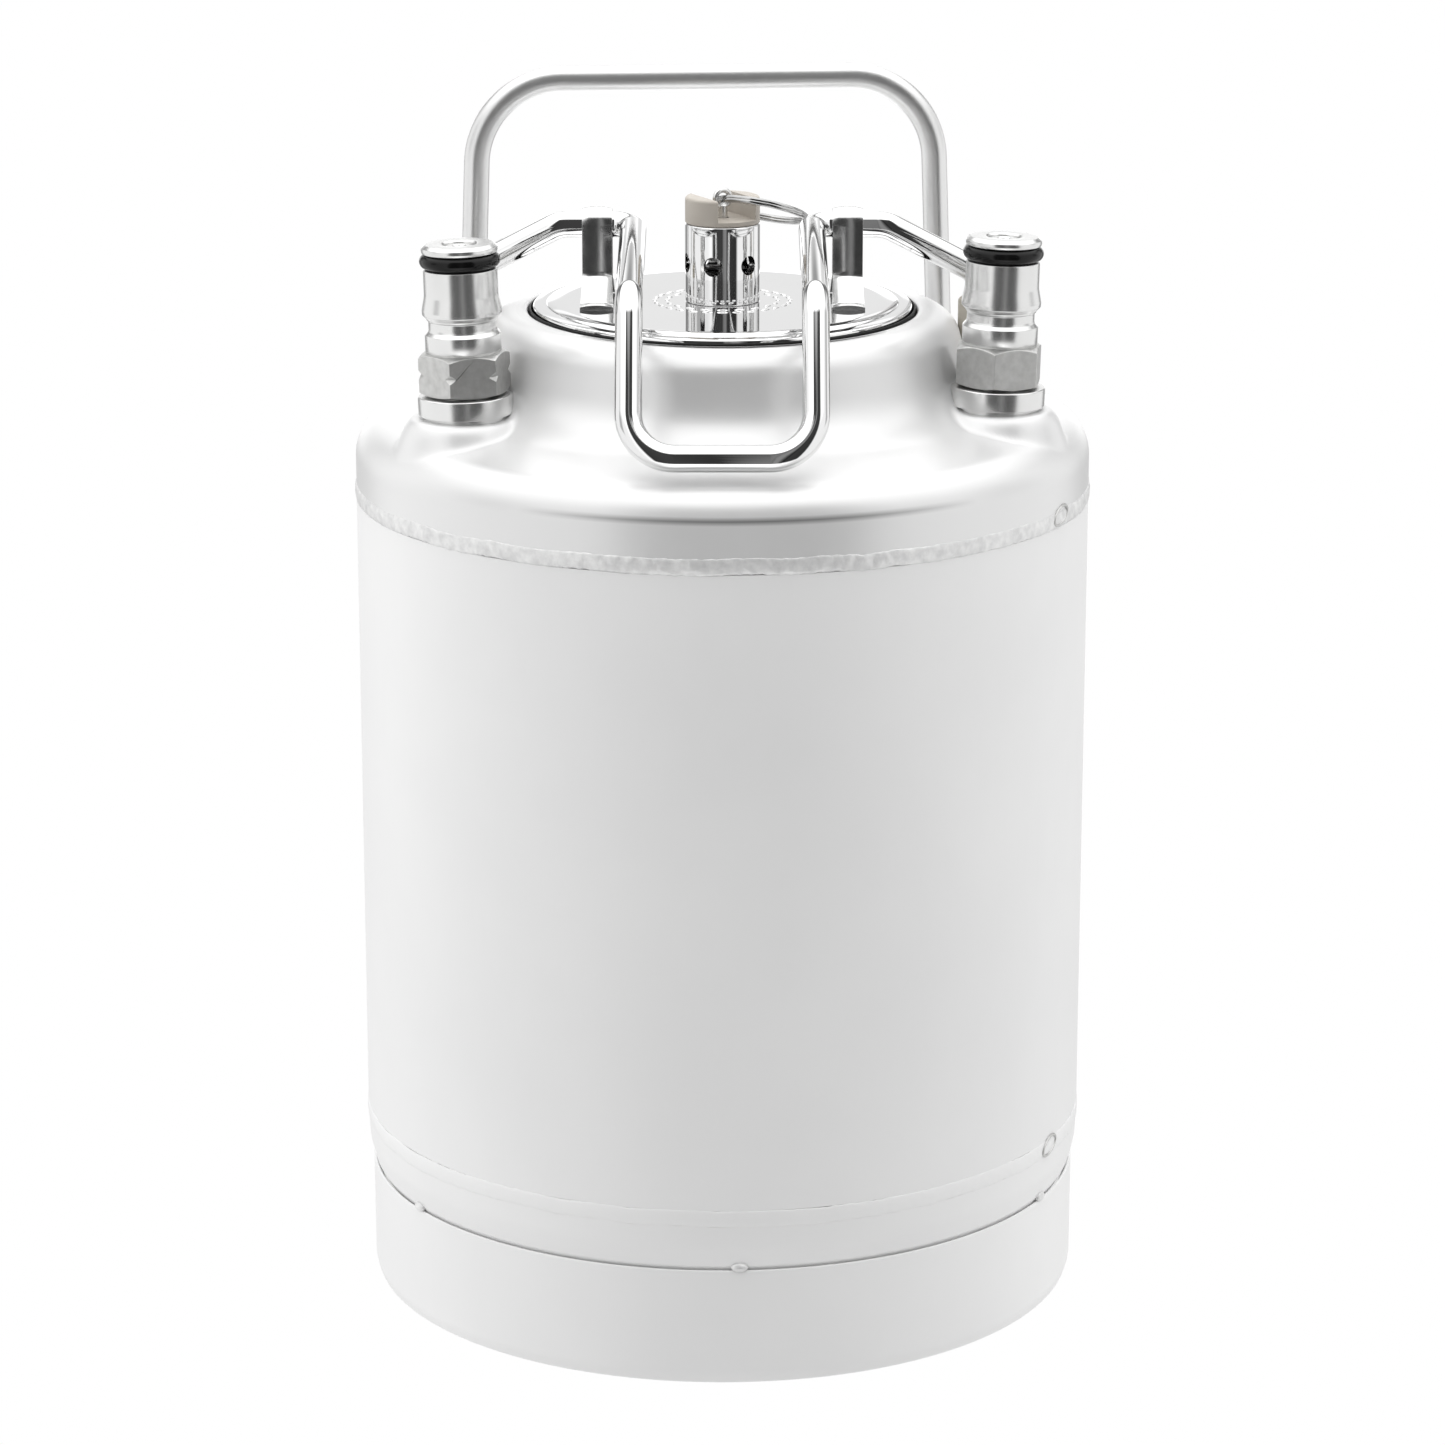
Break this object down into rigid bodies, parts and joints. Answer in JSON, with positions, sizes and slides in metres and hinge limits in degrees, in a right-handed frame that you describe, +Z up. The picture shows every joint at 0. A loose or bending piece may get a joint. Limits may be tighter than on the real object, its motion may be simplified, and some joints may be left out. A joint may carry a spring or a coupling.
{
  "type": "beer keg",
  "caption": "Small stainless ball-lock drinks keg with a bail-clamped oval lid, relief valve, gas and liquid posts and a rear carrying handle.",
  "frame": {"origin": "centre of the base, on the surface the keg stands on", "axes": "+Z up along the keg's axis, -Y is the front where the bail lies, +X is the side of the liquid post"},
  "size_m": [0.169, 0.169, 0.2784],
  "materials": {
    "body_steel": "fine satin stainless steel",
    "weld_steel": "rough weld bead",
    "handle_steel": "dull satin stainless rod",
    "machined_steel": "machined and tumbled stainless steel",
    "polished_steel": "mirror-polished stainless steel",
    "drawn_steel": "bright drawn stainless pipe",
    "spring_steel": "bright spring wire",
    "black_rubber": "matt nitrile rubber",
    "beige_rubber": "matt beige rubber",
    "beige_plastic": "moulded beige plastic"
  },
  "bodies": {
    "vessel": {"base_skirt": "body_steel", "bottom_dome": "body_steel", "bottom_weld": "weld_steel", "body_shell": "body_steel", "top_weld": "weld_steel", "top_dome": "body_steel", "rear_handle": "handle_steel", "gas_fitting": "machined_steel", "gas_post": "machined_steel", "gas_post_o_ring": "black_rubber", "gas_poppet_spring": "spring_steel", "gas_dip_tube": "drawn_steel", "gas_dip_tube_o_ring": "black_rubber", "liquid_fitting": "machined_steel", "liquid_post": "machined_steel", "liquid_post_o_ring": "black_rubber", "liquid_poppet_spring": "spring_steel", "liquid_dip_tube": "drawn_steel", "liquid_dip_tube_o_ring": "black_rubber"},
    "lid_group": {"lid": "polished_steel", "lid_gasket": "black_rubber", "bail_clip_left": "polished_steel", "bail_clip_right": "polished_steel", "prv_body": "polished_steel", "prv_nut": "machined_steel", "prv_cap": "beige_plastic", "prv_spring": "spring_steel"},
    "bail_group": {"bail": "polished_steel", "bail_boot_left": "beige_rubber", "bail_boot_right": "beige_rubber"},
    "relief_stem": {"prv_stem": "machined_steel", "prv_seal": "black_rubber"},
    "pull_ring": {"pull_ring": "polished_steel"},
    "gas_poppet": {"gas_poppet": "machined_steel"},
    "liquid_poppet": {"liquid_poppet": "machined_steel"}
  },
  "joints": [
    {"name": "lid_seat", "type": "slide", "parent": "vessel", "child": "lid_group", "axis": [0, 0, 1], "range_m": [-0.001, 0]},
    {"name": "bail_swing", "type": "hinge", "parent": "lid_group", "child": "bail_group", "pos_m": [0, 0, 0.2485], "axis": [0.9966, -0.0819, 0], "range_deg": [-20, 0]},
    {"name": "prv_pull", "type": "slide", "parent": "lid_group", "child": "relief_stem", "axis": [0, 0, 1], "range_m": [0, 0.003], "stiffness_N_per_m": 900, "springref_m": -0.004, "deforming": ["prv_spring"]},
    {"name": "pull_ring_swing", "type": "hinge", "parent": "relief_stem", "child": "pull_ring", "pos_m": [0, 0, 0.2544], "axis": [-0.4453, 0.877, -0.1804], "range_deg": [-100, 0]},
    {"name": "gas_poppet_press", "type": "slide", "parent": "vessel", "child": "gas_poppet", "axis": [-0.0288, 0, 0.9996], "range_m": [-0.004, 0], "stiffness_N_per_m": 400, "springref_m": 0.003, "deforming": ["gas_poppet_spring"]},
    {"name": "liquid_poppet_press", "type": "slide", "parent": "vessel", "child": "liquid_poppet", "axis": [0.0288, 0, 0.9996], "range_m": [-0.004, 0], "stiffness_N_per_m": 400, "springref_m": 0.003, "deforming": ["liquid_poppet_spring"]}
  ]
}
